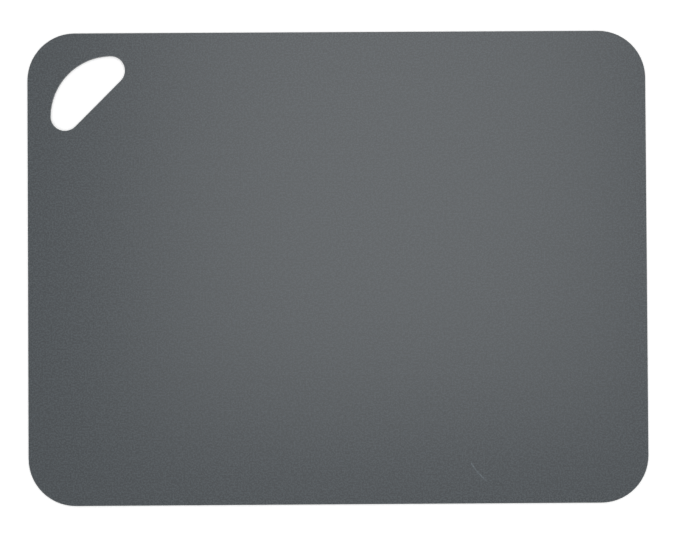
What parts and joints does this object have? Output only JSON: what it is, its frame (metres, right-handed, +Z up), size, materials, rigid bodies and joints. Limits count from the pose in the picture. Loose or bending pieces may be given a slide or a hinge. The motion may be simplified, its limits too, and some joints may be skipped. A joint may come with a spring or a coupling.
{
  "type": "flexible cutting mat",
  "caption": "Thin flexible cutting mat with rounded corners, a thumb hole in one corner and a non-slip backing.",
  "frame": {"origin": "centre of the mat's bounding rectangle, on its resting face", "axes": "+X along the mat's length, +Y across its width, +Z up out of the cutting face; the thumb hole is in the -X, +Y corner"},
  "size_m": [0.38, 0.29, 0.002],
  "materials": {
    "cutting_sheet": "fine satin grain",
    "grip_backing": "matte"
  },
  "bodies": {
    "root": {"cutting_sheet": "cutting_sheet", "grip_backing": "grip_backing"}
  },
  "joints": []
}
